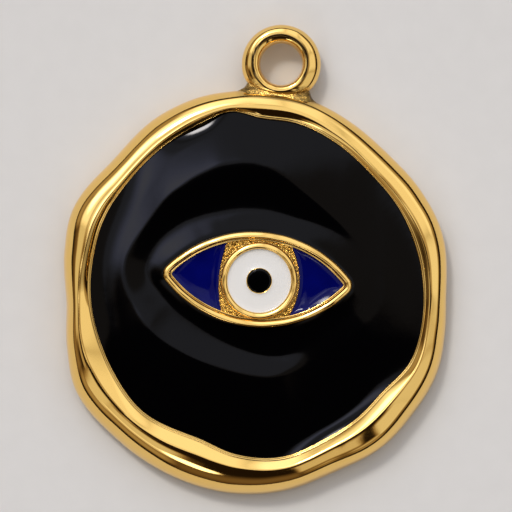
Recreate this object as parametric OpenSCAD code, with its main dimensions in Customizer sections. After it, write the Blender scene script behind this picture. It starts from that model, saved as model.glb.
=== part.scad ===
// Evil eye pendant. A cast gold medallion with a wavy rim and a fixed hanging loop holds
// black enamel round a raised eye, whose cells are filled with blue, white and black enamel.
// It lies on its flat back, with its front up (+Z) and its loop towards +Y. The origin is
// the middle of the medallion's outline, at the back.

/* [Medallion] */
// Mean radius of the gold outline
medallion_r = 10.5; // [9.5:0.1:13]
// Mean width of the rim, from the outline in to the enamel
rim_w = 1.8; // [1.3:0.1:2.3]
// Mean height of the rim's crest above the back
rim_h = 2.15; // [2:0.05:2.8]
// Height at which the side of the rim stands out farthest
belt_h = 0.65; // [0.4:0.05:0.9]
// How far the edge of the back is rounded in from the outline
back_round = 0.45; // [0.2:0.05:0.6]
// Thickness of the plate under the enamel
plate_t = 0.8; // [0.5:0.05:1]

/* [Hanging loop] */
// Diameter over the outside of the loop
loop_d = 4.18; // [3.8:0.02:5]
// Thickness of the loop's round wire
loop_wire = 1.28; // [1.1:0.02:1.4]
// Diameter of the hole drilled through the loop
loop_hole_d = 2.18; // [1.8:0.02:2.6]
// Height of the middle of the loop's wire above the back
loop_z = 1; // [0.75:0.05:1.2]
// Direction of the loop from the middle of the medallion, in degrees from +X
loop_angle = 83.7; // [75:0.1:105]
// How far the loop is sunk into the rim
loop_sink = 0.62; // [0.4:0.02:0.8]
// Length of the solder bead that joins the loop to the rim
solder_l = 3.6; // [2.4:0.1:4]
// Thickness of the solder bead
solder_d = 1; // [0.6:0.05:1.1]
// How far the middle of the solder bead is sunk into the rim
solder_sink = 0.15; // [0:0.05:0.3]

/* [Black enamel] */
// Level of the black enamel where it meets the rim, above the back
field_h = 1.5; // [1.3:0.05:1.7]
// Rise of the soft swells in the black enamel above that level
field_swell = 0.35; // [0.1:0.05:0.4]
// How far the rim's inner slope runs on below the edge of the enamel
sill_drop = 0.08; // [0.02:0.02:0.3]
// Gap left between enamel and metal
enamel_gap = 0.03; // [0.02:0.005:0.06]

/* [Eye] */
// Length of the eye over its gold frame
eye_l = 9.97; // [9:0.05:11]
// Height of the eye over its gold frame, across the pendant
eye_w = 5.06; // [4.8:0.02:5.6]
// Radius of the eye's rounded corners
eye_tip_r = 0.6; // [0.5:0.05:0.9]
// Place of the eye's middle along X
eye_x = 0.08; // [-0.6:0.02:0.6]
// Place of the eye's middle along Y
eye_y = 0.71; // [-0.6:0.02:1]
// Turn of the eye, in degrees
eye_turn = -3.9; // [-12:0.1:12]
// Width of the gold frame's wall
frame_w = 0.42; // [0.3:0.01:0.48]
// Height of the gold frame above the back
frame_h = 2.12; // [2.06:0.02:2.4]
// Level of the blue enamel above the back
cell_h = 1.75; // [1.4:0.05:1.85]
// Level of the gold pad round the iris above the back
pad_h = 1.86; // [1.6:0.02:1.92]
// Half width of the gold pad, from the middle of the iris
pad_w = 2.14; // [2.06:0.02:2.6]
// Radius of the pad's left side
pad_left_r = 6.6; // [4:0.1:12]
// Radius of the pad's right side
pad_right_r = 3.8; // [3.4:0.1:12]

/* [Iris] */
// Place of the iris along the eye, from the eye's middle
iris_x = 0.09; // [-0.4:0.01:0.4]
// Place of the iris across the eye, from the eye's middle
iris_y = -0.06; // [-0.08:0.01:0.08]
// Diameter of the white iris
iris_d = 3.34; // [2.8:0.02:3.36]
// Width of the collar round the iris
collar_w = 0.35; // [0.25:0.01:0.36]
// Height of the collar above the back
collar_h = 2.12; // [2:0.02:2.4]
// Level of the white enamel above the back
iris_h = 1.94; // [1.6:0.02:1.96]
// Diameter of the black pupil
pupil_d = 1.26; // [0.8:0.02:2]
// Thickness of the fine wall round the pupil
pupil_wall = 0.07; // [0.05:0.01:0.15]

/* [Hidden] */
$fn = 64;
// Number of sections round the medallion, and round the eye
stations = 144;
// Degrees by which the eye's sections are drawn towards its corners
tip_crowding = 20;

// Both tables below give their place in the first column
PLACE = 0;

// The wavy rim, one row for each swell, hollow or shoulder of its outline. The place is an
// angle from +X. The outline is a share of medallion_r, the width of rim_w and the crest's
// height of rim_h. The crest lies at a share of the width there, from the outline inwards.
OUTLINE = 1;
WIDTH = 2;
CREST = 3;
HEIGHT = 4;
RIM = [
    // place, outline, width, crest, height
    [0, 0.959, 0.72, 0.78, 0.93],
    [18, 0.984, 0.90, 0.74, 0.91],
    [32, 0.976, 0.86, 0.82, 0.91],
    [47, 0.965, 0.81, 0.82, 0.93],
    [62, 0.985, 0.80, 0.80, 0.92],
    [76, 1.009, 0.81, 0.76, 0.90],
    [88, 1.018, 0.85, 0.74, 0.90],
    [98, 1.022, 0.62, 0.88, 0.92],
    [108, 1.025, 0.78, 0.92, 0.94],
    [120, 1.015, 0.85, 0.90, 0.96],
    [137, 0.984, 0.80, 0.84, 0.95],
    [155, 1.014, 1.00, 0.78, 0.96],
    [168, 0.988, 0.92, 0.72, 1.00],
    [183, 0.957, 0.79, 0.50, 1.00],
    [196, 0.992, 1.05, 0.46, 0.98],
    [209, 1.033, 1.29, 0.58, 1.00],
    [226, 1.019, 1.18, 0.65, 1.05],
    [248, 1.017, 1.39, 0.59, 1.09],
    [263, 1.018, 1.21, 0.50, 1.10],
    [279, 1.007, 1.05, 0.54, 1.10],
    [294, 0.987, 1.06, 0.62, 1.07],
    [309, 1.004, 1.18, 0.60, 1.01],
    [322, 0.999, 1.16, 0.66, 1.02],
    [336, 0.999, 0.92, 0.73, 1.02],
    [349, 0.972, 0.76, 0.80, 0.98],
];

// The black enamel's surface from the eye out to the rim. It falls from the eye into a
// shallow valley, rises to a round swell and falls to the rim. The place is a share of the
// way out, and the rise a share of field_swell.
RISE = 1;
FIELD = [
    // place, rise
    [0, 0.95],
    [0.1, 0.72],
    [0.2, 0.56],
    [0.34, 0.8],
    [0.48, 1],
    [0.66, 0.85],
    [0.84, 0.45],
    [1, 0],
];

// The eye's outline: two arcs of radius arc_r, whose centres lie arc_c from its long axis,
// run tangent into corners of radius eye_tip_r, whose centres lie tip_x from its middle
arc_r = (pow(eye_l / 2, 2) - eye_l * eye_tip_r + pow(eye_w / 2, 2)) / (eye_w - 2 * eye_tip_r);
arc_c = arc_r - eye_w / 2;
tip_x = eye_l / 2 - eye_tip_r;

// Level where the rim's inner slope turns straight down, just under the enamel's edge
sill_h = field_h - sill_drop;
fill_z = plate_t + enamel_gap;
angles = [for (k = [0 : stations - 1]) k * 360 / stations];
iris_r = iris_d / 2;
loop_r = (loop_d - loop_wire) / 2;
loop_out = outline_r(loop_angle) + loop_d / 2 - loop_sink;

// Row i of a table, counted on round a full turn or held at the table's ends
function table_row(table, i, round) =
    let (last = len(table) - 1)
    table[round ? (i + len(table)) % len(table) : max(0, min(last, i))];

// How far place runs from row i to the next one
function row_step(table, i, round) =
    let (step = table_row(table, i + 1, round)[PLACE] - table_row(table, i, round)[PLACE])
    step < 0 ? step + 360 : step;

// How fast a column rises at row i
function row_slope(table, i, col, round) =
    (table_row(table, i + 1, round)[col] - table_row(table, i - 1, round)[col])
    / (row_step(table, i - 1, round) + row_step(table, i, round));

// A table's column at any place, on a smooth curve through its rows
function smooth_column(table, place, col, round) =
    let (
        last = len(table) - (round ? 1 : 2),
        i = max([for (k = [0 : last]) if (table[k][PLACE] <= place) k]),
        step = row_step(table, i, round),
        t = (place - table[i][PLACE]) / step,
        rise = table_row(table, i + 1, round)[col] - table[i][col],
        into = row_slope(table, i, col, round) * step - rise,
        out = row_slope(table, i + 1, col, round) * step - rise
    )
    table[i][col] + t * rise + t * (1 - t) * ((1 - t) * into - t * out);

function rim(a, col) = smooth_column(RIM, a, col, true);
function outline_r(a) = medallion_r * rim(a, OUTLINE);
function rim_width(a) = rim_w * rim(a, WIDTH);
function inner_r(a) = outline_r(a) - rim_width(a);
function crest_r(a) = outline_r(a) - rim_width(a) * rim(a, CREST);
function crest_h(a) = rim_h * rim(a, HEIGHT);

// Level of the black enamel at a share of the way from the eye to the rim
function field_level(s) = field_h + field_swell * smooth_column(FIELD, s, RISE, false);

// Distance from the eye's middle to its outline, grown by g, in direction a
function eye_r(a, g) =
    let (
        turn = atan2(arc_c * (arc_r + g) / (arc_r - eye_tip_r) - arc_c,
                     tip_x * (arc_r + g) / (arc_r - eye_tip_r)),
        side = abs(sin(a)),
        along = abs(cos(a))
    )
    side < sin(turn)
        ? tip_x * along + sqrt(pow(eye_tip_r + g, 2) - pow(tip_x * side, 2))
        : sqrt(pow(arc_r + g, 2) - pow(arc_c * along, 2)) - arc_c * side;

// The direction of section t of the eye, with more of the sections near its corners
function eye_dir(t) = t - tip_crowding * sin(2 * t);

// Section of the medallion at angle a, as radius and height, from the edge of the back
// out round the rim, over its crest and down inside to the plate
function medallion_section(a) =
    let (
        out = outline_r(a),
        crest = crest_r(a),
        inner = inner_r(a),
        top = crest_h(a)
    )
    concat(
        [for (t = [0 : 30 : 60]) [out - back_round * (1 - sin(t)), belt_h * (1 - cos(t))]],
        [for (t = [0 : 11.25 : 78.75]) [crest + (out - crest) * cos(t), belt_h + (top - belt_h) * sin(t)]],
        [for (t = [0 : 15 : 75]) [crest - (crest - inner) * sin(t), sill_h + (top - sill_h) * cos(t)]],
        [[inner, sill_h], [inner, plate_t]]
    );

// Section of the black enamel, from under its inner edge at the eye out to the rim, up, and
// back over its surface to the eye
function field_section(t) =
    let (
        eye_a = eye_dir(t) + eye_turn,
        eye = eye_r(eye_dir(t), enamel_gap),
        rim_a = (t + eye_turn + 360) % 360,
        from = [eye_x + eye * cos(eye_a), eye_y + eye * sin(eye_a)],
        to = (inner_r(rim_a) - enamel_gap) * [cos(rim_a), sin(rim_a)]
    )
    concat(
        [[from[0], from[1], fill_z], [to[0], to[1], fill_z]],
        [for (s = [1, 0.96, 0.9, 0.78, 0.64, 0.5, 0.36, 0.22, 0.1, 0])
            let (p = from + s * (to - from)) [p[0], p[1], field_level(s)]]
    );

// Section of the eye's frame, a wall with a rounded top, from the foot of its outer side
// up and over to the foot of its inner side
function frame_section(t) =
    let (
        a = eye_dir(t),
        foot = plate_t / 2,
        half = frame_w / 2,
        side = concat(
            [[0, foot]],
            [for (k = [0 : 45 : 180]) [half - half * cos(k), frame_h - half + half * sin(k)]],
            [[frame_w, foot]]
        )
    )
    [for (p = side) [eye_r(a, -p[0]) * cos(a), eye_r(a, -p[0]) * sin(a), p[1]]];

// Faces between sections of n points that stand round in a circle, from section to section
function wall_faces(n, strips) = [
    for (k = [0 : stations - 1], j = [0 : strips - 1])
        let (
            a = k * n + j,
            b = k * n + (j + 1) % n,
            c = ((k + 1) % stations) * n + j,
            d = ((k + 1) % stations) * n + (j + 1) % n
        )
        each [[a, b, d], [a, d, c]]
];

module medallion() {
    n = len(medallion_section(0));
    back = stations * n;
    points = [
        for (a = angles) each [for (p = medallion_section(a)) [p[0] * cos(a), p[0] * sin(a), p[1]]],
        [0, 0, 0],
        [0, 0, plate_t],
    ];
    back_faces = [for (k = [0 : stations - 1]) [back, k * n, (k + 1) % stations * n]];
    floor_faces = [for (k = [0 : stations - 1]) [back + 1, (k + 1) % stations * n + n - 1, k * n + n - 1]];
    polyhedron(points, concat(wall_faces(n, n - 1), back_faces, floor_faces), convexity = 6);
}

// Puts what belongs to the eye in its place and turn on the plate
module on_eye() {
    translate([eye_x, eye_y, 0]) rotate(eye_turn) children();
}

module at_iris() {
    translate([iris_x, iris_y, 0]) children();
}

// The section of a wall with a rounded top, whose outer side lies at radius r
module wall_section(r, w, h) {
    foot = plate_t / 2;
    translate([r - w, foot]) square([w, h - w / 2 - foot]);
    translate([r - w / 2, h - w / 2]) circle(d = w);
}

// The eye's outline, drawn in by inset
module eye_shape(inset) {
    r = arc_r - inset;
    half_l = tip_x * r / (arc_r - eye_tip_r);
    intersection() {
        translate([0, -arc_c]) circle(r, $fn = 256);
        translate([0, arc_c]) circle(r, $fn = 256);
        square([2 * half_l, eye_w], center = true);
    }
    for (s = [-1, 1]) translate([s * tip_x, 0]) circle(eye_tip_r - inset);
}

module eye_frame() {
    n = len(frame_section(0));
    polyhedron([for (t = angles) each frame_section(t)], wall_faces(n, n), convexity = 6);
}

// The outline of the pad, grown by g towards the blue cells
module pad_shape(g) {
    at_iris() intersection() {
        translate([pad_left_r - pad_w, 0]) circle(pad_left_r + g, $fn = 256);
        translate([pad_w - pad_right_r, 0]) circle(pad_right_r + g, $fn = 256);
    }
}

// The pad is open inside the collar, where iris and pupil lie in a pocket down to the plate
module eye_pad() {
    translate([0, 0, plate_t / 2]) linear_extrude(pad_h - plate_t / 2) difference() {
        intersection() {
            eye_shape(frame_w / 2);
            pad_shape(0);
        }
        at_iris() circle(iris_r + collar_w / 2);
    }
}

// A round wall about the iris's middle
module ring(r, w, h) {
    rotate_extrude() wall_section(r, w, h);
}

module loop_place() {
    rotate(loop_angle) translate([loop_out, 0, loop_z]) rotate(-loop_angle) children();
}

module loop_ring() {
    loop_place() rotate_extrude($fn = 96) translate([loop_r, 0]) circle(d = loop_wire);
}

module loop_solder() {
    half = (solder_l - solder_d) / 2;
    rotate(loop_angle) translate([outline_r(loop_angle) - solder_sink, 0, loop_z]) {
        translate([0, -half, 0]) rotate([-90, 0, 0]) cylinder(h = 2 * half, d = solder_d);
        for (s = [-1, 1]) translate([0, s * half, 0]) sphere(d = solder_d);
    }
}

module pendant_body() {
    color([0.86, 0.67, 0.29]) difference() {
        union() {
            medallion();
            on_eye() {
                eye_frame();
                eye_pad();
                at_iris() {
                    ring(iris_r + collar_w, collar_w, collar_h);
                    ring(pupil_d / 2 + pupil_wall, pupil_wall, iris_h);
                }
            }
            loop_solder();
            loop_ring();
        }
        loop_place() cylinder(h = 2 * loop_wire, d = loop_hole_d, center = true);
    }
}

module field_enamel() {
    n = len(field_section(0));
    points = [for (a = angles) each field_section(a)];
    color([0.05, 0.05, 0.06]) polyhedron(points, wall_faces(n, n), convexity = 6);
}

module eye_enamel(side) {
    color([0.06, 0.08, 0.42]) on_eye() translate([0, 0, fill_z]) linear_extrude(cell_h - fill_z)
        difference() {
            intersection() {
                eye_shape(frame_w + enamel_gap);
                translate([side * eye_l / 2, 0]) square([eye_l, eye_w], center = true);
            }
            pad_shape(enamel_gap);
        }
}

module eye_enamel_left() {
    eye_enamel(-1);
}

module eye_enamel_right() {
    eye_enamel(1);
}

module iris_enamel() {
    color([0.9, 0.9, 0.91]) on_eye() at_iris() translate([0, 0, fill_z])
        linear_extrude(iris_h - fill_z) difference() {
            circle(iris_r - enamel_gap);
            circle(pupil_d / 2 + pupil_wall + enamel_gap);
        }
}

module pupil_enamel() {
    color([0.05, 0.05, 0.06]) on_eye() at_iris() translate([0, 0, fill_z])
        cylinder(h = iris_h - fill_z, r = pupil_d / 2 - enamel_gap);
}

pendant_body();
field_enamel();
eye_enamel_left();
eye_enamel_right();
iris_enamel();
pupil_enamel();
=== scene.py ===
import math
import bpy
import bmesh
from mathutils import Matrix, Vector, noise


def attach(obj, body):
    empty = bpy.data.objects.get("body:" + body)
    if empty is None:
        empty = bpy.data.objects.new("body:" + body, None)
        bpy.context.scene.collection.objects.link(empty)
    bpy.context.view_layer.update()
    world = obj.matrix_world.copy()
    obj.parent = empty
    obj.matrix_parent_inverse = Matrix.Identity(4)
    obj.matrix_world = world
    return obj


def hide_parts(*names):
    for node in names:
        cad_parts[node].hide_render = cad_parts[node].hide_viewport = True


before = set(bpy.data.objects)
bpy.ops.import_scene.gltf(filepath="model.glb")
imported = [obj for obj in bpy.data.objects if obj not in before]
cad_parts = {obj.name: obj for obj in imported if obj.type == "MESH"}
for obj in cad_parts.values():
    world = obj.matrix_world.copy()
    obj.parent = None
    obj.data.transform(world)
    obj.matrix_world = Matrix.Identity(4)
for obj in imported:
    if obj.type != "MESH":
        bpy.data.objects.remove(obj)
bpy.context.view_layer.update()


# ---- Medallion -------------------------------------------------------------------------
# The medallion is one brass casting, polished and plated with gold: a flat back plate and a
# wavy rim that was worked by hand in the wax, so no two stretches of it are alike. Everything
# else of the pendant stands on it or is soldered to it.

# Sizes are in mm, and become metres where a point goes into its mesh
MM = 0.001

RIM_RADIUS = 10.5
RIM_WIDTH = 1.8
RIM_HEIGHT = 2.15
BACK_ROUND = 0.45
PLATE = 0.8
SHOULDER_WIDTH = 0.21
SHOULDER_HEIGHT = 1.80
# The least width of the slope from the crest to the enamel, the largest share of that slope
# that the shoulder takes, and the points on the slope
LEAST_SLOPE = 0.05
SHOULDER_SHARE = 0.45
SLOPE_POINTS = 18
# How far the hand work in the wax left the rim uneven
UNEVEN = 0.010
# The direction in which the loop is soldered on
LOOP_ANGLE = 83.7

# Angle from +X, then the outline as a share of RIM_RADIUS, the width as a share of RIM_WIDTH,
# where the crest lies in that width, the crest's height as a share of RIM_HEIGHT, how broad
# the flat along the crest is and how high the side stands out farthest, in mm, and how late
# the slope to the enamel falls away
WAVES = [
    (0, 0.959, 0.72, 0.70, 0.905, 0.02, 0.73, 1.4),
    (18, 0.984, 0.90, 0.70, 0.91, 0.02, 0.80, 1.5),
    (32, 0.976, 0.86, 0.80, 0.89, 0.00, 0.72, 1.2),
    (47, 0.965, 0.81, 0.80, 0.89, 0.00, 0.68, 1.2),
    (62, 0.985, 0.80, 0.72, 0.88, 0.00, 0.74, 1.6),
    (76, 1.009, 0.81, 0.63, 0.87, 0.00, 0.92, 2.0),
    (88, 1.018, 0.85, 0.64, 0.87, 0.00, 0.94, 2.0),
    (98, 1.022, 0.62, 0.84, 0.90, 0.00, 0.81, 1.6),
    (108, 1.025, 0.78, 0.80, 0.92, 0.00, 0.68, 1.5),
    (120, 1.015, 0.85, 0.82, 0.93, 0.00, 0.54, 1.5),
    (137, 0.984, 0.80, 0.82, 0.93, 0.00, 0.54, 1.5),
    (155, 1.014, 1.00, 0.76, 0.94, 0.05, 0.71, 1.4),
    (168, 0.988, 0.92, 0.72, 0.94, 0.12, 0.50, 1.3),
    (183, 0.957, 0.79, 0.54, 0.95, 0.05, 0.50, 1.3),
    (196, 0.992, 1.05, 0.48, 0.96, 0.00, 0.51, 1.4),
    (209, 1.033, 1.29, 0.59, 0.97, 0.00, 0.49, 1.35),
    (226, 1.019, 1.18, 0.66, 0.97, 0.00, 0.28, 1.2),
    (248, 1.017, 1.39, 0.67, 1.00, 0.00, 0.40, 1.2),
    (263, 1.018, 1.21, 0.70, 0.98, 0.00, 0.40, 1.15),
    (279, 1.007, 1.05, 0.68, 0.96, 0.00, 0.36, 1.1),
    (294, 0.987, 1.06, 0.70, 0.95, 0.00, 0.36, 1.1),
    (309, 1.004, 1.18, 0.69, 0.96, 0.00, 0.58, 1.2),
    (322, 0.999, 1.16, 0.67, 0.96, 0.00, 0.48, 1.2),
    (336, 0.999, 0.92, 0.73, 0.92, 0.00, 0.41, 1.15),
    (349, 0.972, 0.76, 0.76, 0.90, 0.00, 0.47, 1.15),
]
OUTLINE, WIDTH, CREST, TOP, FLAT, BELT, LATE = range(1, 8)

# The shoulder's two beads, from the slope to the enamel: the share of the shoulder's width,
# and how far below SHOULDER_HEIGHT
BEADS = [
    (0.92, 0.012),
    (0.86, 0.008),
    (0.78, 0),
    (0.70, 0.002),
    (0.62, 0.013),
    (0.54, 0.032),
    (0.47, 0.036),
    (0.40, 0.028),
    (0.32, 0.026),
    (0.24, 0.036),
    (0.14, 0.062),
    (0.06, 0.10),
    (0, 0.30),
]


def on_curve(rows, place, column, turn=None):
    """A column of a table at any place, on a smooth curve through its rows. With a turn, the
    table closes on itself."""
    last = len(rows)

    def row(i):
        if turn:
            return rows[i % last]
        return rows[max(0, min(last - 1, i))]

    def step(i):
        gap = row(i + 1)[0] - row(i)[0]
        return gap + turn if gap < 0 else gap

    def slope(i):
        return (row(i + 1)[column] - row(i - 1)[column]) / (step(i - 1) + step(i))

    if turn:
        place = place % turn
    i = max(k for k in range(last if turn else last - 1) if rows[k][0] <= place)
    gap = step(i)
    t = (place - rows[i][0]) / gap
    rise = row(i + 1)[column] - row(i)[column]
    into = slope(i) * gap - rise
    out = slope(i + 1) * gap - rise
    return row(i)[column] + t * rise + t * (1 - t) * ((1 - t) * into - t * out)


def wave(angle, column):
    return on_curve(WAVES, angle, column, 360)


def outline(angle):
    return RIM_RADIUS * wave(angle, OUTLINE)


def rim_inside(angle):
    return outline(angle) - RIM_WIDTH * wave(angle, WIDTH)


def rim_crest(angle):
    out, inside = outline(angle), rim_inside(angle)
    return out - (out - inside) * wave(angle, CREST)


def rim_flat(angle):
    return max(0, wave(angle, FLAT)) / 2


def slope_start(angle):
    return max(rim_inside(angle) + LEAST_SLOPE, rim_crest(angle) - rim_flat(angle))


def shoulder_width(angle):
    return min(SHOULDER_WIDTH, SHOULDER_SHARE * (slope_start(angle) - rim_inside(angle)))


def rim_section(angle):
    """Radius and height of the medallion's points, from the back's middle out over the rim. The
    slope to the enamel ends in a shoulder of two fine beads that holds the enamel's edge."""
    out, inside, crest = outline(angle), rim_inside(angle), rim_crest(angle)
    top, belt, late = RIM_HEIGHT * wave(angle, TOP), wave(angle, BELT), wave(angle, LATE)
    points = [(share * (out - BACK_ROUND), 0) for share in (0.05, 0.35, 0.65, 0.9)]
    for t in range(0, 90, 10):
        t = math.radians(t)
        points.append((out - BACK_ROUND * (1 - math.sin(t)), belt * (1 - math.cos(t))))
    outer, inner = crest + rim_flat(angle), slope_start(angle)
    for t in range(0, 90, 4):
        t = math.radians(t)
        points.append((outer + (out - outer) * math.cos(t),
                       belt + (top - belt) * math.sin(t)))
    wide = shoulder_width(angle)
    foot = inside + wide
    for k in range(1, SLOPE_POINTS + 1):
        share = k / SLOPE_POINTS
        points.append((inner - (inner - foot) * share,
                       top - (top - SHOULDER_HEIGHT) * share ** late))
    points += [(inside + share * wide, SHOULDER_HEIGHT - drop) for share, drop in BEADS]
    return points + [(share * inside, PLATE) for share in (1, 0.6, 0.2)]


def in_rings(name, stations, rings, place, capped=True):
    """A piece made from a circle that is extruded ring by ring. place(k, j) is the point of
    station k on ring j, in mm. Without caps the last ring lands on the first and joins it."""
    bpy.ops.object.select_all(action="DESELECT")
    bpy.ops.mesh.primitive_circle_add(vertices=stations, radius=RIM_RADIUS * MM)
    piece = bpy.context.object
    piece.name = piece.data.name = name
    bpy.ops.object.mode_set(mode="EDIT")
    mesh = bmesh.from_edit_mesh(piece.data)
    station = mesh.verts.layers.int.new("station")
    for k, v in enumerate(mesh.verts):
        v[station] = k
    for j in range(rings):
        if j:
            bpy.ops.mesh.extrude_region_move()
            mesh = bmesh.from_edit_mesh(piece.data)
            station = mesh.verts.layers.int["station"]
        for v in mesh.verts:
            if v.select:
                v.co = Vector(place(v[station], j)) * MM
        bmesh.update_edit_mesh(piece.data)
    bpy.ops.mesh.select_all(action="SELECT")
    if capped:
        bpy.ops.mesh.fill_holes(sides=0)
    else:
        bpy.ops.mesh.remove_doubles(threshold=1e-7)
    bpy.ops.mesh.select_all(action="SELECT")
    bpy.ops.mesh.normals_make_consistent(inside=False)
    bpy.ops.object.mode_set(mode="OBJECT")
    piece.data.attributes.remove(piece.data.attributes["station"])
    return piece


def smooth(piece, degrees=40):
    bpy.ops.object.select_all(action="DESELECT")
    piece.select_set(True)
    bpy.context.view_layer.objects.active = piece
    bpy.ops.object.shade_smooth_by_angle(angle=math.radians(degrees))


def mark(piece, name, amount):
    """Writes how much of a finish, or of painted shade, each point has, for the material to read.
    """
    layer = piece.data.attributes.new(name, "FLOAT", "POINT")
    layer.data.foreach_set("value", [amount(v.co / MM) for v in piece.data.vertices])


def ease(low, high, x):
    t = max(0, min(1, (x - low) / (high - low)))
    return t * t * (3 - 2 * t)


def node_maker(tree):
    """A short way to add a node, set its sockets and link what feeds it. A socket is given by
    its name, or by its number after an underscore."""
    def add(kind, settings=None, **sockets):
        node = tree.nodes.new(kind)
        for key, value in (settings or {}).items():
            setattr(node, key, value)
        for key, value in sockets.items():
            number = key[1:]
            socket = node.inputs[int(number) if number.isdigit() else key.replace("_", " ")]
            if isinstance(value, bpy.types.NodeSocket):
                tree.links.new(value, socket)
            else:
                socket.default_value = value
        return node
    return add


def new_material(name):
    material = bpy.data.materials.new(name)
    material.use_nodes = True
    material.node_tree.nodes.clear()
    return material, node_maker(material.node_tree)


def blend(add, share, low, high):
    """From one colour to another by a share. Each may come out of another node."""
    return add("ShaderNodeMix", {"data_type": "RGBA"}, Factor=share, _6=low, _7=high).outputs[2]


def polished_gold():
    """Gold plate over polished brass: a mirror with a faint hand-polished unevenness, fine
    wheel marks, and a sandy, darker skin where the metal was soldered or left as cast. Where
    recess is marked, it turns near black and a little matt: painted shade and
    painted dark reflections in the recesses and on the rim, and darker blotches on the solder."""
    material, add = new_material("polished_gold")
    where = add("ShaderNodeTexCoord").outputs["Object"]
    grain = add("ShaderNodeAttribute", {"attribute_name": "grain"}).outputs["Fac"]
    recess = add("ShaderNodeAttribute", {"attribute_name": "recess"}).outputs["Fac"]
    cloudy = add("ShaderNodeTexNoise", Vector=where, Scale=180.0, Detail=3.0).outputs["Fac"]
    wheel = add("ShaderNodeTexNoise", Vector=where, Scale=9000.0, Detail=4.0).outputs["Fac"]
    sand = add("ShaderNodeTexNoise", Vector=where, Scale=8500.0, Detail=5.0,
               Roughness=0.65).outputs["Fac"]
    pit = add("ShaderNodeMapRange", Value=sand, From_Min=0.42, From_Max=0.54).outputs[0]
    plated = blend(add, cloudy, (1.0, 0.64, 0.18, 1), (1.0, 0.68, 0.22, 1))
    as_cast = blend(add, pit, (0.13, 0.055, 0.005, 1), (1.0, 0.60, 0.13, 1))
    # Painted shade and painted dark reflections: near black where recess is marked
    colour = blend(add, recess, blend(add, grain, plated, as_cast), (0.022, 0.010, 0.003, 1))
    shine = add("ShaderNodeMapRange", Value=wheel, To_Min=0.035, To_Max=0.085).outputs[0]
    rough = add("ShaderNodeMath", {"operation": "MULTIPLY_ADD"},
                _0=grain, _1=0.10, _2=shine).outputs[0]
    matt = add("ShaderNodeMath", {"operation": "MULTIPLY_ADD"},
               _0=recess, _1=0.20, _2=rough).outputs[0]
    waves = add("ShaderNodeBump", Height=cloudy, Strength=0.10, Distance=0.00010).outputs[0]
    marks = add("ShaderNodeBump", Height=wheel, Strength=0.03, Distance=0.00001,
                Normal=waves).outputs[0]
    sandy = add("ShaderNodeMath", {"operation": "MULTIPLY"}, _0=sand, _1=grain).outputs[0]
    pits = add("ShaderNodeBump", Height=sandy, Strength=1.0, Distance=0.00010,
               Normal=marks).outputs[0]
    skin = add("ShaderNodeBsdfPrincipled", Base_Color=colour, Metallic=1.0,
               Roughness=matt, Normal=pits)
    add("ShaderNodeOutputMaterial", Surface=skin.outputs[0])
    return material


MEDALLION_STATIONS = 360
medallion_sections = [rim_section(k * 360 / MEDALLION_STATIONS)
                      for k in range(MEDALLION_STATIONS)]


def around(degrees, r, z=0):
    """A point in a direction and at a distance from the pendant's middle."""
    turn = math.radians(degrees)
    return Vector((r * math.cos(turn), r * math.sin(turn), z))


def medallion_point(k, j):
    """Only the rim is uneven. The back and the plate inside stay flat."""
    angle = k * 360 / MEDALLION_STATIONS
    r, z = medallion_sections[k][j]
    if z > 0.3 and r > 7:
        spot = around(angle, r, z)
        r += UNEVEN * noise.noise(spot * 0.8)
        z += UNEVEN * noise.noise(spot * 0.8 + Vector((40, 0, 0)))
    return around(angle, r, z)


def near(value, middle, wide):
    """1 at the middle, and down to 0 at some distance to both sides."""
    return max(0, 1 - abs(value - middle) / wide)


# The grooves beside the beads, darkened with painted shade: the share of the shoulder's width, and
# how far they fade
GROOVES = [
    (0.50, 0.16),
    (0.10, 0.14),
    (0.96, 0.12),
]
# Two stretches above the shoulder with a painted dark reflection: their direction and how far they
# fade along the rim, the share of the shoulder's width and how far they fade across it, and how
# dark
PAINTED_DARK_STRETCHES = [
    (13, 18, 1.45, 0.8, 1.2),
    (167, 13, 2.3, 0.9, 1.0),
]
# How far in from the outline the rim is darkened with painted shade where the loop is soldered
LOOP_SHADE_REACH = 0.45


def medallion_painted_shade(p):
    """Painted shade in the grooves and outside where the loop is soldered, and painted dark
    reflections on two stretches above the shoulder and along a stretch of the shoulder near the
    loop."""
    angle = math.degrees(math.atan2(p.y, p.x))
    r = math.hypot(p.x, p.y)
    # Painted shade outside where the loop is soldered
    if r > outline(angle) - LOOP_SHADE_REACH:
        return 0.6 * near(angle, LOOP_ANGLE, 12) ** 0.5
    if p.z < 1.6:
        return 0
    share = (r - rim_inside(angle)) / shoulder_width(angle)
    dark = [near(share, middle, wide) for middle, wide in GROOVES]
    for direction, along, middle, wide, strength in PAINTED_DARK_STRETCHES:
        dark.append(strength * near(angle, direction, along) ** 0.5 * near(share, middle, wide))
    # Painted shade in the grooves, painted dark reflections on the two stretches and on the
    # shoulder near 112 degrees
    return max(0.8 * max(dark), near(angle, 112, 17) ** 0.5 * ease(1.6, 1.0, share))


medallion = in_rings("medallion", MEDALLION_STATIONS, len(medallion_sections[0]), medallion_point)
smooth(medallion)
mark(medallion, "recess", medallion_painted_shade)
gold = polished_gold()
medallion.data.materials.append(gold)
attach(medallion, "root")
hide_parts("pendant_body")


# ---- Hanging loop ----------------------------------------------------------------------
# The loop is a thick gold ring with its hole eased by a drill, soldered on edge against the rim.
# The solder fills the corner between ring and rim on both sides and has a sandy skin.

LOOP_RADIUS = 1.45
LOOP_WIRE = 0.64
LOOP_HOLE = 1.09
LOOP_HEIGHT = 1.0
# How far the ring sinks into the rim, and how much was filed off it there
LOOP_SINK = 0.62
LOOP_FILED = 0.42
loop_away = around(LOOP_ANGLE, 1)
loop_side = Vector((-loop_away.y, loop_away.x, 0))
loop_middle = loop_away * (outline(LOOP_ANGLE) + LOOP_RADIUS + LOOP_WIRE - LOOP_SINK)

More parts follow.
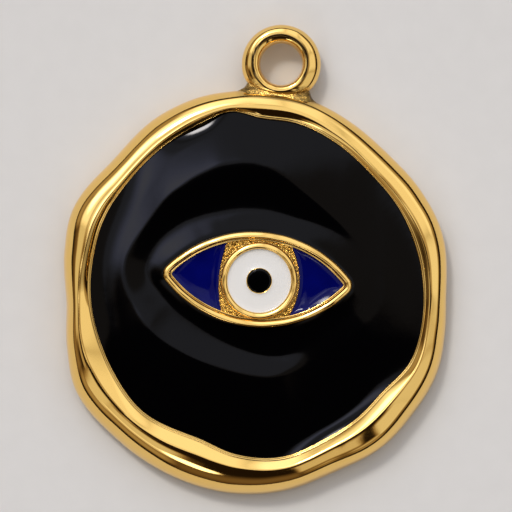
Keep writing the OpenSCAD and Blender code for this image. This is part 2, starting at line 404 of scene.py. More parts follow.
# Direction from the ring's middle, then how far its crest lies that way
LOOP_CREST = [
    (0, 1.38),
    (20, 1.45),
    (40, 1.51),
    (60, 1.56),
    (80, 1.60),
    (120, 1.64),
    (145, 1.60),
    (165, 1.50),
    (180, 1.46),
    (215, 1.45),
    (240, 1.47),
    (300, 1.43),
    (340, 1.38),
]
LOOP_STATIONS = 180
# From here on noise_vector shapes pieces. Unseeded, it would differ from run to run
NOISE_SEED = 7
noise.seed_set(NOISE_SEED)
# Points on the outer half of the ring's section, and as many on the half in the hole
LOOP_POINTS = 24


def loop_point(k, j):
    """The ring's section is round outside and falls late and steeply into the hole. It was filed
    to fit against the rim."""
    turn = math.radians(k * 360 / LOOP_STATIONS)
    crest = on_curve(LOOP_CREST, LOOP_ANGLE + 90 - math.degrees(turn), 1, 360)
    if j <= LOOP_POINTS:
        t = math.radians(-90 + 180 * j / LOOP_POINTS)
        filed = LOOP_FILED * max(0, -math.sin(turn)) ** 4
        r = crest + (LOOP_RADIUS + LOOP_WIRE - filed - crest) * math.cos(t)
        z = LOOP_WIRE * math.sin(t)
    else:
        t = (j - LOOP_POINTS) / LOOP_POINTS
        # The points stand closer in the hole
        share = 1 - abs(1 - 2 * t) ** 1.5
        r = crest - (crest - LOOP_HOLE) * share
        z = math.copysign(LOOP_WIRE * (1 - share ** 5.0), 0.5 - t)
    spot = (loop_middle + loop_side * r * math.cos(turn) + loop_away * r * math.sin(turn)
            + Vector((0, 0, LOOP_HEIGHT + z)))
    return spot + 0.006 * noise.noise_vector(spot * 1.5)


def from_loop(p):
    """How far a point lies from the ring's middle: sideways, away from the rim, and in all."""
    side, away = (p - loop_middle).dot(loop_side), (p - loop_middle).dot(loop_away)
    return side, away, math.hypot(side, away)


def foot_grain(p):
    """The ring is sandy only low on its outside, where the solder has run up on it."""
    _, away, r = from_loop(p)
    return 0.5 * ease(-0.85, -1.35, away) * ease(LOOP_RADIUS + 0.1, LOOP_RADIUS + 0.3, r)


def loop_painted_reflection(p):
    """A painted dark reflection in the bend between the ring's crest and its hole, but not at the
    bottom. The bend lies a little farther out at the top and the left."""
    side, away, r = from_loop(p)
    bend = LOOP_RADIUS + 0.06 * away / r + 0.07 * side / r
    dark = min(1, 2.2 * near(r, bend, 0.09))
    return dark * ease(-0.85, -0.3, away / r) * ease(LOOP_HEIGHT, LOOP_HEIGHT + 0.2, p.z)


loop = in_rings("hanging_loop", LOOP_STATIONS, 2 * LOOP_POINTS + 1, loop_point, capped=False)
smooth(loop, 50)
mark(loop, "grain", foot_grain)
# Painted dark reflection round the hole
mark(loop, "recess", loop_painted_reflection)
loop.data.materials.append(gold)
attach(loop, "root")
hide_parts("pendant_body")

# Distance from the middle of the foot along the rim, how far the solder reaches out from the
# rim there and half its thickness, in mm
SOLDER = [
    (0.0, 0.27, 0.55),
    (0.8, 0.32, 0.56),
    (1.2, 0.46, 0.55),
    (1.5, 0.54, 0.50),
    (1.62, 0.48, 0.46),
    (1.70, 0.32, 0.42),
    (1.76, 0.18, 0.38),
    (1.84, 0.10, 0.32),
    (1.95, 0.04, 0.25),
    (2.15, -0.03, 0.14),
    (2.35, -0.10, 0.04),
]
SOLDER_STATIONS = 64
SOLDER_RINGS = 81
# How far in under the rim's outline the solder starts
SOLDER_ROOT = 1.0


def solder_point(k, j):
    """Solder that fills the corner between ring and rim and runs out to both sides. It is lumpy,
    and fine where it runs out thin."""
    turn = math.radians(k * 360 / SOLDER_STATIONS)
    side = SOLDER[-1][0] * math.sin(math.radians(-90 + 180 * j / (SOLDER_RINGS - 1)))
    reach, half = [on_curve(SOLDER, abs(side), c) for c in (1, 2)]
    angle = LOOP_ANGLE + math.degrees(side / RIM_RADIUS)
    middle, wide = (reach - SOLDER_ROOT) / 2, (reach + SOLDER_ROOT) / 2
    spot = (around(angle, 1) * outline(angle) + loop_away * (middle + wide * math.cos(turn))
            + Vector((0, 0, LOOP_HEIGHT + half * math.sin(turn))))
    lumps = 0.03 * noise.noise_vector(spot * 2.5) + 0.006 * noise.noise_vector(spot * 9)
    return spot + min(1, half * 4) * lumps


solder = in_rings("loop_solder", SOLDER_STATIONS, SOLDER_RINGS, solder_point)
smooth(solder, 60)
mark(solder, "grain", lambda p: 0.45)


def solder_darkening(p):
    """Darker all over, more in blotches, and most at the two ends of the foot."""
    stain = ease(-0.2, 0.5, noise.noise(Vector((p.x, p.y * 3, p.z)) * 2))
    return 0.26 + 0.3 * stain + 0.36 * ease(0.5, 1.3, abs(from_loop(p)[0]))


mark(solder, "recess", solder_darkening)
solder.data.materials.append(gold)
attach(solder, "root")
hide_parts("pendant_body")


# ---- Eye frame -------------------------------------------------------------------------
# The eye is a raised wall of gold in the shape of an almond, cast with the back plate and
# rounded over by polishing. A fine ledge runs along the inside of the wall.

EYE_LENGTH = 9.97
EYE_WIDTH = 5.06
EYE_CORNER = 0.6
EYE_PLACE = Vector((0.08, 0.71, 0))
EYE_TURN = -3.9
FRAME_WALL = 0.42
FRAME_HEIGHT = 2.12
# The height over which the wall is rounded, and the level in the plate where walls start
FRAME_ROUND = 0.20
WALL_FOOT = 0.5
side_radius = ((EYE_LENGTH / 2) ** 2 - EYE_LENGTH * EYE_CORNER + (EYE_WIDTH / 2) ** 2) / (
    EYE_WIDTH - 2 * EYE_CORNER)
side_centre = side_radius - EYE_WIDTH / 2
corner_place = EYE_LENGTH / 2 - EYE_CORNER


def eye_reach(angle, grown=0):
    """From the eye's middle to its outline, grown outwards, in a direction in degrees."""
    scale = (side_radius + grown) / (side_radius - EYE_CORNER)
    turn = math.atan2(side_centre * scale - side_centre, corner_place * scale)
    across = abs(math.sin(math.radians(angle)))
    along = abs(math.cos(math.radians(angle)))
    if across < math.sin(turn):
        return corner_place * along + math.sqrt(
            (EYE_CORNER + grown) ** 2 - (corner_place * across) ** 2)
    return math.sqrt((side_radius + grown) ** 2 - (side_centre * along) ** 2) - side_centre * across


def eye_direction(t):
    """Directions in degrees that stand closer together near the corners."""
    return t - 20 * math.sin(math.radians(2 * t))


def on_eye(x, y, z):
    """A point given along and across the eye."""
    turn = math.radians(EYE_TURN)
    return EYE_PLACE + Vector((x * math.cos(turn) - y * math.sin(turn),
                               x * math.sin(turn) + y * math.cos(turn), z))


def off_eye(p):
    """How far along and across the eye a point lies."""
    turn = math.radians(-EYE_TURN)
    x, y = p.x - EYE_PLACE.x, p.y - EYE_PLACE.y
    return x * math.cos(turn) - y * math.sin(turn), x * math.sin(turn) + y * math.cos(turn)


def wall_top(wall, crest, step):
    """Points over a rounded wall: how far across it they lie, and their share of its height."""
    points = []
    for t in range(0, 181, step):
        c, h = math.cos(math.radians(t)), math.sin(math.radians(t))
        points.append((crest - (crest if c > 0 else wall - crest) * c, h))
    return points


FRAME_STATIONS = 360
# The widths of the wall's rounded top and of the ledge
RIDGE = 0.38
LEDGE = 0.11
# How far inwards from the wall, and the ledge's height there
LEDGE_TOP = [
    (0.01, 1.885),
    (0.03, 1.885),
    (0.05, 1.895),
    (0.08, 1.89),
    (0.10, 1.86),
    (LEDGE, 1.80),
]


def frame_section(angle):
    """Inset and height of the wall's points. Its crest lies inside at the top of the eye and
    outside at the bottom, because the polishing wheel came from above."""
    crest = RIDGE * (0.55 + 0.28 * math.sin(math.radians(angle)))
    points = [(0, WALL_FOOT), (0, 1.4)]
    for across, share in wall_top(RIDGE, crest, 9):
        points.append((across, FRAME_HEIGHT - FRAME_ROUND + FRAME_ROUND * share))
    points += [(RIDGE + across, z) for across, z in LEDGE_TOP]
    return points + [(RIDGE + LEDGE, WALL_FOOT), (0, WALL_FOOT)]


def frame_point(k, j):
    angle = eye_direction(k * 360 / FRAME_STATIONS)
    inset, z = frame_section(angle)[j]
    r = eye_reach(angle, -inset)
    spot = on_eye(r * math.cos(math.radians(angle)), r * math.sin(math.radians(angle)), z)
    return spot + 0.012 * noise.noise_vector(spot * 1.3)


def frame_painted_shade(p):
    """Painted shade in the corner between the wall and its ledge."""
    x, y = off_eye(p)
    inset = eye_reach(math.degrees(math.atan2(y, x))) - math.hypot(x, y)
    return near(inset, RIDGE + 0.02, 0.035) * ease(1.80, 1.86, p.z)


eye_frame = in_rings("eye_frame", FRAME_STATIONS, len(frame_section(0)), frame_point,
                     capped=False)
smooth(eye_frame, 50)
mark(eye_frame, "recess", frame_painted_shade)
eye_frame.data.materials.append(gold)
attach(eye_frame, "root")
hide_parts("pendant_body")


# ---- Iris setting ----------------------------------------------------------------------
# Inside the eye the casting has a pad with a round collar for the iris, and a thin ring for
# the pupil. The polishing wheel can't reach the pad, so it keeps the sandy skin of the mould.

IRIS_X = 0.09
IRIS_Y = -0.06
IRIS_RADIUS = 1.67
COLLAR_WALL = 0.35
COLLAR_HEIGHT = 2.12
PAD_HEIGHT = 1.86
PAD_HALF = 2.14
PAD_LEFT_RADIUS = 6.6
PAD_RIGHT_RADIUS = 3.8
IRIS_LEVEL = 1.94
PUPIL_RADIUS = 0.63
PUPIL_WALL = 0.07
# The metal's level under the iris and under the pupil
IRIS_FLOOR = 1.45
PUPIL_FLOOR = 1.55
# How deep in the frame's wall the pad ends, as a share of the wall
PAD_IN_WALL = 0.6
# Each side of the pad is an arc: where its centre lies along the eye, and its radius
PAD_ARCS = {
    -1: (PAD_LEFT_RADIUS - PAD_HALF, PAD_LEFT_RADIUS),
    1: (PAD_HALF - PAD_RIGHT_RADIUS, PAD_RIGHT_RADIUS),
}


def pad_reach(angle):
    """From the iris's middle to the pad's edge, which ends inside the eye frame's wall."""
    c, s = math.cos(math.radians(angle)), math.sin(math.radians(angle))
    reaches = []
    for centre, radius in PAD_ARCS.values():
        ahead = c * centre
        reaches.append(ahead + math.sqrt(ahead * ahead - centre ** 2 + radius ** 2))
    low, high = 1, min(reaches)
    for _ in range(24):
        r = (low + high) / 2
        x, y = IRIS_X + r * c, IRIS_Y + r * s
        wall = eye_reach(math.degrees(math.atan2(y, x)), -PAD_IN_WALL * FRAME_WALL)
        inside = math.hypot(x, y) < wall
        low, high = (r, high) if inside else (low, r)
    return low


collar_outside = IRIS_RADIUS + COLLAR_WALL
collar_bend = COLLAR_WALL / 2
pupil_outside = PUPIL_RADIUS + PUPIL_WALL
pupil_bend = PUPIL_WALL / 2
SETTING_STATIONS = 240
PAD_RINGS = 12


def setting_section(angle):
    """Radius and height, from the pad's edge over the collar and the pupil's ring to the middle."""
    edge = pad_reach(angle)
    shoulder, foot = edge - 0.07, min(collar_outside + 0.05, edge - 0.02)
    points = [(edge, WALL_FOOT), (edge, 1.2), (edge, PAD_HEIGHT - 0.09),
              (edge - 0.03, PAD_HEIGHT - 0.02)]
    for k in range(PAD_RINGS + 1):
        points.append((shoulder - (shoulder - foot) * k / PAD_RINGS, PAD_HEIGHT))
    points.append((collar_outside, PAD_HEIGHT + 0.05))
    crest = COLLAR_WALL * (0.5 + 0.22 * math.sin(math.radians(angle)))
    for across, share in wall_top(COLLAR_WALL, crest, 10):
        points.append((collar_outside - across, COLLAR_HEIGHT - collar_bend * (1 - share)))
    points += [(IRIS_RADIUS, 1.5), (IRIS_RADIUS - 0.05, IRIS_FLOOR),
               (pupil_outside + 0.05, IRIS_FLOOR), (pupil_outside, 1.6)]
    for across, share in wall_top(PUPIL_WALL, pupil_bend, 30):
        points.append((pupil_outside - across, IRIS_LEVEL + 0.03 - pupil_bend * (1 - share)))
    return points + [(PUPIL_RADIUS, 1.6), (PUPIL_RADIUS - 0.05, PUPIL_FLOOR), (0.1, PUPIL_FLOOR)]


setting_sections = [setting_section(k * 360 / SETTING_STATIONS) for k in range(SETTING_STATIONS)]


def on_iris(degrees, r, z):
    """A point in a direction and at a distance from the iris's middle."""
    turn = math.radians(degrees)
    return on_eye(IRIS_X + r * math.cos(turn), IRIS_Y + r * math.sin(turn), z)


def off_iris(p):
    """How far from the iris's middle a point lies."""
    x, y = off_eye(p)
    return math.hypot(x - IRIS_X, y - IRIS_Y)


def setting_point(k, j):
    """The casting is a little uneven all over, and lumpy and sandy on the pad."""
    r, z = setting_sections[k][j]
    sandy = ease(collar_outside + 0.02, collar_outside + 0.10, r) * ease(1.3, 1.6, z)
    spot = on_iris(k * 360 / SETTING_STATIONS, r, z)
    spot += 0.008 * noise.noise_vector(spot * 2)
    spot += sandy * Vector((0.02, 0.02, 0.03)) * noise.noise(spot * 5)
    spot.z += sandy * 0.03 * noise.noise(spot * 16)
    return spot


setting = in_rings("iris_setting", SETTING_STATIONS, len(setting_sections[0]), setting_point)
smooth(setting, 50)


def setting_grain(p):
    """Sandy outside the collar, which is polished."""
    return ease(collar_outside - 0.02, collar_outside + 0.08, off_iris(p))


def setting_painted_shade(p):
    """Painted shade on the sandy skin round the collar's foot."""
    return 0.55 * near(off_iris(p), collar_outside + 0.03, 0.10) * ease(2.0, 1.92, p.z)


mark(setting, "grain", setting_grain)
mark(setting, "recess", setting_painted_shade)
setting.data.materials.append(gold)
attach(setting, "root")
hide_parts("pendant_body")


# ---- Black enamel ----------------------------------------------------------------------
# The medallion is filled with black enamel that was poured liquid and cured. It stands proud
# round the eye, sags into a shallow trough, swells once more and runs down to the rim.

TROUGH_LEVEL = 1.72
EDGE_LEVEL = 1.66
FIELD_BOTTOM = 1.0
# How far the filling runs on into the eye's frame and into the rim
INTO_FRAME = 0.06
INTO_RIM = 0.05
# How high the enamel climbs up the frame, and the distance in which that dies away
CLIMB = 0.05
CLIMB_WIDTH = 0.16

# Direction of the eye's outline, then how far from the gold frame the trough lies and the
# swell behind it, how high the swell and the frame's side stand over the trough, and how far
# and on what width the last edge at the rim turns up, all in mm
SWELLS = [
    (0, 0.90, 1.80, 0.00, 0.00, 0.02, 0.8),
    (20, 1.30, 1.80, 0.01, 0.02, 0.02, 0.8),
    (36, 1.20, 2.10, 0.05, 0.05, 0.02, 0.8),
    (54, 1.07, 2.60, 0.10, 0.07, 0.00, 0.8),
    (80, 1.12, 3.50, 0.14, 0.08, 0.00, 0.8),
    (97, 1.15, 3.80, 0.15, 0.08, 0.00, 0.8),
    (111, 1.18, 3.80, 0.15, 0.08, -0.05, 0.8),
    (118, 1.18, 3.75, 0.15, 0.08, -0.13, 0.8),
    (126, 1.20, 3.60, 0.14, 0.07, -0.13, 0.8),
    (134, 1.25, 3.45, 0.13, 0.07, -0.06, 0.8),
    (142, 1.30, 3.25, 0.12, 0.06, 0.00, 0.9),
    (150, 1.35, 3.05, 0.10, 0.06, 0.02, 1.1),
    (165, 1.25, 2.40, 0.06, 0.05, 0.09, 1.4),
    (180, 0.70, 2.15, 0.08, 0.04, 0.15, 1.5),
    (186, 0.70, 2.35, 0.10, 0.04, 0.10, 1.4),
    (192, 0.70, 2.50, 0.11, 0.04, 0.03, 1.2),
    (208, 0.75, 2.50, 0.13, 0.05, 0.02, 1.0),
    (228, 0.95, 2.50, 0.14, 0.06, 0.02, 0.8),
    (256, 1.25, 2.60, 0.13, 0.07, 0.02, 0.8),
    (280, 1.50, 2.72, 0.11, 0.07, 0.02, 0.8),
    (292, 1.55, 2.65, 0.085, 0.06, 0.04, 0.8),
    (302, 1.50, 2.50, 0.045, 0.05, 0.08, 0.7),
    (312, 1.40, 2.30, 0.012, 0.04, 0.12, 0.65),
    (322, 1.30, 2.10, 0.00, 0.03, 0.12, 0.65),
    (335, 1.10, 1.95, 0.00, 0.02, 0.07, 0.7),
    (348, 1.00, 1.85, 0.00, 0.01, 0.02, 0.8),
]

FIELD_STATIONS = 288
FIELD_SHARES = [k / 60 for k in range(57)] + [0.945, 0.957, 0.967, 0.976, 0.984, 0.992, 1.0]


def field_height(spot, start, end, direction):
    """The enamel's level: down from the eye's frame, up over the swell and down to the rim."""
    trough, swell, rise, side, lip, lip_width = [
        on_curve(SWELLS, direction, column, 360) for column in range(1, 7)]
    from_eye, to_rim = (spot - start).length, (end - spot).length
    level = (TROUGH_LEVEL + side * (1 - ease(0, trough, from_eye))
             + rise * ease(trough, swell, from_eye))
    if from_eye > swell:
        fall = (from_eye - swell) / (from_eye + to_rim - swell)
        level -= (TROUGH_LEVEL + rise - EDGE_LEVEL) * fall ** 1.15
    # The whole filling is highest along a line under the eye, which sags to both sides
    ridge = -0.6 - 1.8 * ease(4.5, 6.5, abs(spot.x))
    level -= 0.008 * math.sqrt((spot.y - ridge) ** 2 + 0.1)
    return (level + CLIMB * math.exp(-from_eye / CLIMB_WIDTH)
            + lip * max(0, 1 - to_rim / lip_width) ** 2)


def field_edges(k):
    """Where the filling starts at the eye, and where it ends at the rim."""
    t = k * 360 / FIELD_STATIONS
    direction = eye_direction(t)
    start = EYE_PLACE + around(direction + EYE_TURN, eye_reach(direction, -INTO_FRAME))
    end = around(t + EYE_TURN, rim_inside(t + EYE_TURN) + INTO_RIM)
    return start, end


field_sides = [field_edges(k) for k in range(FIELD_STATIONS)]


def field_point(k, j):
    """The top from the eye to the rim, then down the side, back along the bottom and up again."""
    start, end = field_sides[k]
    last = len(FIELD_SHARES)
    if j == last + 2:
        return field_point(k, 0)
    if j >= last:
        spot = (end if j == last else start).copy()
        spot.z = FIELD_BOTTOM
        return spot
    spot = start.lerp(end, FIELD_SHARES[j])
    spot.z = field_height(spot, start, end, eye_direction(k * 360 / FIELD_STATIONS) + EYE_TURN)
    return spot


field = in_rings("black_field", FIELD_STATIONS, len(FIELD_SHARES) + 3, field_point, capped=False)
smooth(field, 50)


def enamel(name, deep, pale, cloud_scale=400.0, roughness=0.07):
    """Glossy enamel: colour that drifts a little, a faint orange-peel skin, and fine specks that
    shine less."""
    material, add = new_material(name)
    where = add("ShaderNodeTexCoord").outputs["Object"]
    cloud = add("ShaderNodeTexNoise", Vector=where, Scale=cloud_scale, Detail=3.0).outputs["Fac"]
    peel = add("ShaderNodeTexNoise", Vector=where, Scale=1500.0, Detail=2.0).outputs["Fac"]
    dust = add("ShaderNodeTexNoise", Vector=where, Scale=14000.0, Detail=2.0).outputs["Fac"]
    colour = blend(add, cloud, (*deep, 1), (*pale, 1))
    gloss = add("ShaderNodeMapRange", Value=dust, To_Min=roughness - 0.02,
                To_Max=roughness + 0.03).outputs[0]
    bump = add("ShaderNodeBump", Height=peel, Strength=0.05, Distance=0.00002).outputs[0]
    skin = add("ShaderNodeBsdfPrincipled", Base_Color=colour, IOR=1.44,
               Specular_IOR_Level=0.22, Specular_Tint=(0.9, 0.91, 1.0, 1),
               Roughness=gloss, Normal=bump)
    add("ShaderNodeOutputMaterial", Surface=skin.outputs[0])
    return material


field.data.materials.append(
    enamel("black_enamel", (0.0003, 0.0003, 0.0005), (0.0005, 0.0005, 0.0008)))
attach(field, "root")
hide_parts("field_enamel")


# ---- Blue enamel -----------------------------------------------------------------------
# The two corners of the eye are filled with clear dark blue enamel. It climbs the gold walls
# all round, and beside the pad it dips before it climbs.

CELL_LEVEL = 1.75
CELL_BOTTOM = 1.0
CELL_STATIONS = 320
# How far in from the eye's outline a cell starts, and how far it runs on into the pad
CELL_INSET = RIDGE + LEDGE - 0.02
INTO_PAD = 0.03
# The right cell has a broad fillet along its lower wall: its slope, its width, how soft it
# ends, where its middle lies along the eye, and how far it reaches to both sides of that
FILLET_SLOPE = 0.33
FILLET_WIDTH = 0.34
FILLET_SOFT = 0.06
FILLET_MIDDLE = 3.6
FILLET_REACH = 1.1


def cell_edge(side, k):
    """Point k of a cell's outline, along and across the eye. It runs from the pad along the upper
    wall to the corner, back along the lower wall, and up the pad in half the points."""
    per_side = CELL_STATIONS // 4
    edge, step = divmod(k, per_side)
    share = step / per_side
    centre, radius = PAD_ARCS[side]

    def on_pad(y):
        return IRIS_X + centre + side * (math.sqrt(radius ** 2 - (y - IRIS_Y) ** 2) - INTO_PAD)

    def on_frame(sign, share):
        """From the pad to the corner along the upper or the lower wall."""
        low, high = 0.3, 2.4
        for _ in range(30):
            y = (low + high) / 2
            x = on_pad(sign * y)
            if math.hypot(x, y) < eye_reach(math.degrees(math.atan2(y, x)), -CELL_INSET):
                low = y
            else:
                high = y
        first = math.degrees(math.atan2(low, abs(on_pad(sign * low))))
        angle = first * (1 - share) ** 1.6
        r = eye_reach(angle, -CELL_INSET)
        return Vector((side * r * math.cos(math.radians(angle)),
                       sign * r * math.sin(math.radians(angle)), 0)), low

    if edge == 0:
        return on_frame(1, share)[0]
    if edge == 1:
        return on_frame(-1, 1 - share)[0]
    lowest, highest = on_frame(-1, 0)[1], on_frame(1, 0)[1]
    share = (edge - 2 + share) / 2
    y = -lowest + (highest + lowest) * share
    return Vector((on_pad(y), y, 0))


# The rings of a cell's top, as shares of the way from its heart out to its outline
CELL_SHARES = [1, 0.99, 0.975, 0.955, 0.93, 0.90, 0.86, 0.81, 0.75, 0.68, 0.6, 0.5, 0.4, 0.3,
               0.2, 0.1, 0.02]


def to_line(spot, line):
    """The distance to the nearest point of a line of points."""
    nearest = 9
    for a, b in zip(line, line[1:]):
        share = max(0, min(1, (spot - a).dot(b - a) / max(1e-9, (b - a).length_squared)))
        nearest = min(nearest, (spot - a.lerp(b, share)).length)
    return nearest


def blue_cell(side, name):
    """One cell, at the left (-1) or at the right (1) of the iris."""
    edge = [cell_edge(side, k) for k in range(CELL_STATIONS)]
    by_pad = edge[CELL_STATIONS // 2::2] + edge[:1]
    walls = edge[::2] + edge[:1]
    heart = Vector((side * 3.0, 0, 0))

    def point(k, j):
        if j == 0:
            return on_eye(edge[k].x, edge[k].y, CELL_BOTTOM)
        spot = heart.lerp(edge[k], CELL_SHARES[j - 1])
        to_wall = to_line(spot, walls)
        rise = 0.10 * math.exp(-to_wall / 0.13)
        if side > 0:
            to_low_wall = side_radius - CELL_INSET - math.hypot(spot.x, spot.y - side_centre)
            wide = (FILLET_WIDTH * max(0, 1 - ((spot.x - FILLET_MIDDLE) / FILLET_REACH) ** 2)
                    * ease(0.2, -0.4, spot.y))
            rise *= 1 - min(1, wide / 0.15)
            rise += (FILLET_SLOPE * FILLET_SOFT
                     * math.log(1 + math.exp((wide - to_low_wall) / FILLET_SOFT)))
        rise += (0.035 if side > 0 else 0.055) * ease(0.10, 0.50, to_line(spot, by_pad))
        rise += 0.03 * (spot.y + 0.7) ** 2 - 0.05
        return on_eye(spot.x, spot.y, CELL_LEVEL + rise)

    piece = in_rings(name, CELL_STATIONS, len(CELL_SHARES) + 1, point)
    smooth(piece, 50)
    piece.data.materials.append(blue)
    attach(piece, "root")
    return piece


blue = enamel("blue_enamel", (0.0004, 0.0010, 0.050), (0.0010, 0.0025, 0.125), 700.0, 0.05)
left_cell = blue_cell(-1, "blue_cell_left")
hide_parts("eye_enamel_left")
right_cell = blue_cell(1, "blue_cell_right")
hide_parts("eye_enamel_right")


# ---- Iris and pupil --------------------------------------------------------------------
# The iris is a ring of opaque white enamel inside the collar. The pupil is a drop of black
# enamel inside its own thin gold ring, and stands up with a flat top that leans a little.

IRIS_BOTTOM = 1.3
IRIS_STATIONS = 160
PUPIL_BOTTOM = 1.5
PUPIL_STATIONS = 96
PUPIL_LEAN = 0.035
PUPIL_ROUND = 0.10

# The white runs on a little way into the collar and into the pupil's ring, and climbs both
iris_out, iris_in = IRIS_RADIUS + 0.02, pupil_outside - 0.02
iris_points = [(iris_out, IRIS_BOTTOM), (iris_out, IRIS_LEVEL + 0.03)]
for share in (0.99, 0.97, 0.94, 0.9, 0.84, 0.75, 0.6, 0.45, 0.3, 0.2, 0.12, 0.07, 0.03, 0.0):
    climb = 0.05 * abs(2 * share - 1) ** 6
    iris_points.append((iris_in + share * (iris_out - iris_in), IRIS_LEVEL - 0.02 + climb))
iris_points += [(iris_in, IRIS_BOTTOM), iris_points[0]]


def round_iris(points, stations, lean=0):
    """Turns a section round the iris's middle. With a lean its upper side stands higher."""
    def point(k, j):
        angle = k * 360 / stations
        r, z = points[j]
        return on_iris(angle, r, z + lean * r * math.sin(math.radians(angle)))
    return point


iris = in_rings("white_iris", IRIS_STATIONS, len(iris_points),
                round_iris(iris_points, IRIS_STATIONS), capped=False)
smooth(iris, 50)
iris.data.materials.append(
    enamel("white_enamel", (0.71, 0.71, 0.70), (0.76, 0.76, 0.75), 900.0, 0.16))
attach(iris, "root")
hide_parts("iris_enamel")

pupil_points = [(PUPIL_RADIUS + 0.01, PUPIL_BOTTOM), (PUPIL_RADIUS + 0.01, IRIS_LEVEL - 0.02)]
for t in range(10, 91, 8):
    pupil_points.append((PUPIL_RADIUS - 0.09 + PUPIL_ROUND * math.cos(math.radians(t)),
                         IRIS_LEVEL - 0.02 + PUPIL_ROUND * math.sin(math.radians(t))))
pupil_points.append((0.05, IRIS_LEVEL + 0.081))

pupil = in_rings("black_pupil", PUPIL_STATIONS, len(pupil_points),
                 round_iris(pupil_points, PUPIL_STATIONS, PUPIL_LEAN))
smooth(pupil, 50)
pupil.data.materials.append(
    enamel("pupil_enamel", (0.0003, 0.0003, 0.0004), (0.0005, 0.0005, 0.0007)))
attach(pupil, "root")
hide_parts("pupil_enamel")


# ---- Table and light -------------------------------------------------------------------
# The pendant lies on a plain pale table under a tent of soft lights, with a dark opening
# above it for the camera and a few dark gaps between the lights.

bpy.ops.object.select_all(action="DESELECT")
bpy.ops.mesh.primitive_circle_add(vertices=96, radius=600 * MM, fill_type="NGON",
                                  location=(0, 0, -0.02 * MM))
table = bpy.context.object
table.name = "table"
paper, add = new_material("paper")
fibre = add("ShaderNodeTexNoise", Scale=900.0, Detail=4.0,
            Vector=add("ShaderNodeTexCoord").outputs["Object"]).outputs["Fac"]
shade = blend(add, fibre, (0.63, 0.63, 0.63, 1), (0.67, 0.67, 0.67, 1))
add("ShaderNodeOutputMaterial", Surface=add(
    "ShaderNodeBsdfPrincipled", Base_Color=shade, Roughness=0.8).outputs[0])
table.data.materials.append(paper)

# From and to round the compass, from and to down from overhead, how soft the sides and the
# ends are, all in degrees, and the strength
LIGHTS = [
    (42, 165, -20, 24, 30, 12, 0.90),
    (-14, 70, -20, 24, 10, 12, 0.40),
    (160, 192, -7, 7, 12, 6, 0.5),
    (-12, 24, 14, 71, 24, 14, 0.86),
    (18, 60, 14, 70, 26, 12, 0.92),
    (15, 64, 44, 71, 24, 24, 1.08),
    (55, 85, 18, 78, 20, 12, 1.10),
    (80, 118, 24, 76, 20, 14, 1.45),
    (110, 142, 24, 66, 14, 14, 1.25),
    (138, 164, 24, 62, 14, 16, 1.20),
    (100, 149, 41, 58, 10, 12, 2.00),
    (113, 166, 66, 84, 10, 12, 0.35),
    (164, 182, 14, 74, 16, 30, 0.17),
    (150, 187, 22, 60, 14, 14, 0.66),
    (168, 204, 24, 40, 8, 5, 0.42),
    (180, 200, 58, 86, 6, 30, 0.22),
    (205, 226, 17, 60, 12, 6, 0.70),
    (220, 246, 25, 58, 14, 8, 0.66),
    (200, 245, 60, 79, 10, 10, 0.34),
    (218, 243, 46, 53, 12, 6, 1.00),
    (245, 293, 54, 84, 10, 26, 0.14),
    (291.5, 300, 18, 60, 4, 14, 0.60),
    (294, 313, 64, 80, 8, 10, 0.50),
    (309.5, 326, 20, 76, 5, 14, 0.72),
    (320, 352, 12, 76, 14, 10, 0.70),
]
# Round lamps: compass, angle down from overhead, half size, soft edge, strength
LAMPS = [
    (117, 38, 2, 5, 50.0),
    (105, 38, 2, 7, 3.0),
    (137, 46, 5, 9, 2.0),
    (249, 49, 3, 6, 4.0),
    (138, 9, 0.5, 6.5, 2.2),
]
# The dark gaps, as the lights, with how much each takes away
GAPS = [
    (-5, 52, 66, 71, 30, 3, 0.45),
    (292, 352, 72, 77, 10, 3, 0.55),
]
# The little light that comes from everywhere else
FAINT = 0.012
# The light's colour by a quarter of its strength: dim light is warm, the strong panels are cool
# and the lamps warm again
DIMMEST = (1.0, 0.60, 0.30, 1)
BRIGHTEST = (1.0, 0.94, 0.84, 1)
BETWEEN = [
    (0.075, (1.0, 0.78, 0.50, 1)),
    (0.165, (1.0, 0.97, 0.92, 1)),
    (0.25, (1.0, 1.0, 1.04, 1)),
    (0.36, (0.98, 1.0, 1.18, 1)),
    (0.60, (0.97, 1.0, 1.28, 1)),
    (0.80, (1.0, 0.98, 1.0, 1)),
]

world = bpy.data.worlds.new("light_tent")
bpy.context.scene.world = world
world.use_nodes = True
world.node_tree.nodes.clear()
add = node_maker(world.node_tree)
sight = add("ShaderNodeTexCoord").outputs["Generated"]


def reckon(kind, *values):
    """The result of a Math node on up to three values."""
    sockets = {f"_{number}": value for number, value in enumerate(values)}
    return add("ShaderNodeMath", {"operation": kind}, **sockets).outputs[0]


split = add("ShaderNodeSeparateXYZ", Vector=sight)
compass = reckon("ARCTAN2", split.outputs[1], split.outputs[0])
down = reckon("ARCCOSINE", split.outputs[2])


def fade(angle, full, gone):
    """1 up to an angle, then softly down to 0 at a second one, both in degrees."""
    return add("ShaderNodeMapRange", {"interpolation_type": "SMOOTHSTEP"}, Value=angle,
               From_Min=math.radians(full), From_Max=math.radians(gone),
               To_Min=1.0, To_Max=0.0).outputs[0]


def band(value, first, last, soft, wrap=False):
    """1 between two angles in degrees, with soft ends. A compass angle wraps round."""
    half = (last - first) / 2
    away = reckon("SUBTRACT", value, math.radians(first + half))
    if wrap:
        away = reckon("WRAP", away, math.pi, -math.pi)
    return fade(reckon("ABSOLUTE", away), max(0, half - soft / 2), half + soft / 2)


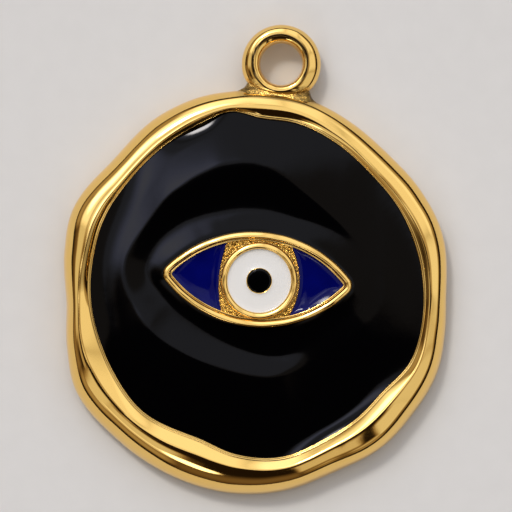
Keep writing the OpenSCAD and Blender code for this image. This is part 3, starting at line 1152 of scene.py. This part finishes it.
def patch(first, last, high, low, soft, soft_end):
    """A piece of the tent, by the first six columns of LIGHTS and GAPS."""
    return reckon("MULTIPLY", band(compass, first, last, soft, True),
                  band(down, high, low, soft_end))


glow = None
for *place, strength in LIGHTS:
    panel = reckon("MULTIPLY", patch(*place), strength)
    glow = panel if glow is None else reckon("MAXIMUM", glow, panel)
for direction, height, half, soft, strength in LAMPS:
    tilt = math.radians(height)
    close = add("ShaderNodeVectorMath", {"operation": "DOT_PRODUCT"}, _0=sight,
                _1=around(direction, math.sin(tilt), math.cos(tilt))).outputs["Value"]
    lamp = fade(reckon("ARCCOSINE", close), half, half + soft)
    glow = reckon("ADD", glow, reckon("MULTIPLY", lamp, strength))
for *place, depth in GAPS:
    gap = reckon("MULTIPLY", patch(*place), depth)
    glow = reckon("MULTIPLY", glow, reckon("SUBTRACT", 1.0, gap))
glow = reckon("ADD", glow, FAINT)
warmth = add("ShaderNodeValToRGB", Fac=reckon("MULTIPLY", glow, 0.25))
warmth.color_ramp.elements[0].color = DIMMEST
warmth.color_ramp.elements[1].color = BRIGHTEST
for place, tone in BETWEEN:
    warmth.color_ramp.elements.new(place).color = tone
add("ShaderNodeOutputWorld", Surface=add(
    "ShaderNodeBackground", Color=warmth.outputs[0], Strength=glow).outputs[0])
world.cycles.sampling_method = "MANUAL"
world.cycles.sample_map_resolution = 1024

# The camera looks straight down through the opening, from far enough to see no side walls. The
# photo's width and middle hold at PHOTO_LEVEL, a little below the enamel's edge
PHOTO_WIDTH = 26.95
PHOTO_MIDDLE = 1.947
PHOTO_LEVEL = 1.5
CAMERA_LENS = 300
SENSOR_WIDTH = 36
bpy.ops.object.camera_add(location=(
    0, PHOTO_MIDDLE * MM, PHOTO_WIDTH * MM * CAMERA_LENS / SENSOR_WIDTH + PHOTO_LEVEL * MM))
camera = bpy.context.object
camera.rotation_euler = (0, 0, 0)
camera.data.lens = CAMERA_LENS
camera.data.sensor_width = SENSOR_WIDTH
camera.data.clip_start = 0.01
bpy.context.scene.camera = camera
bpy.context.scene.view_settings.view_transform = "Standard"
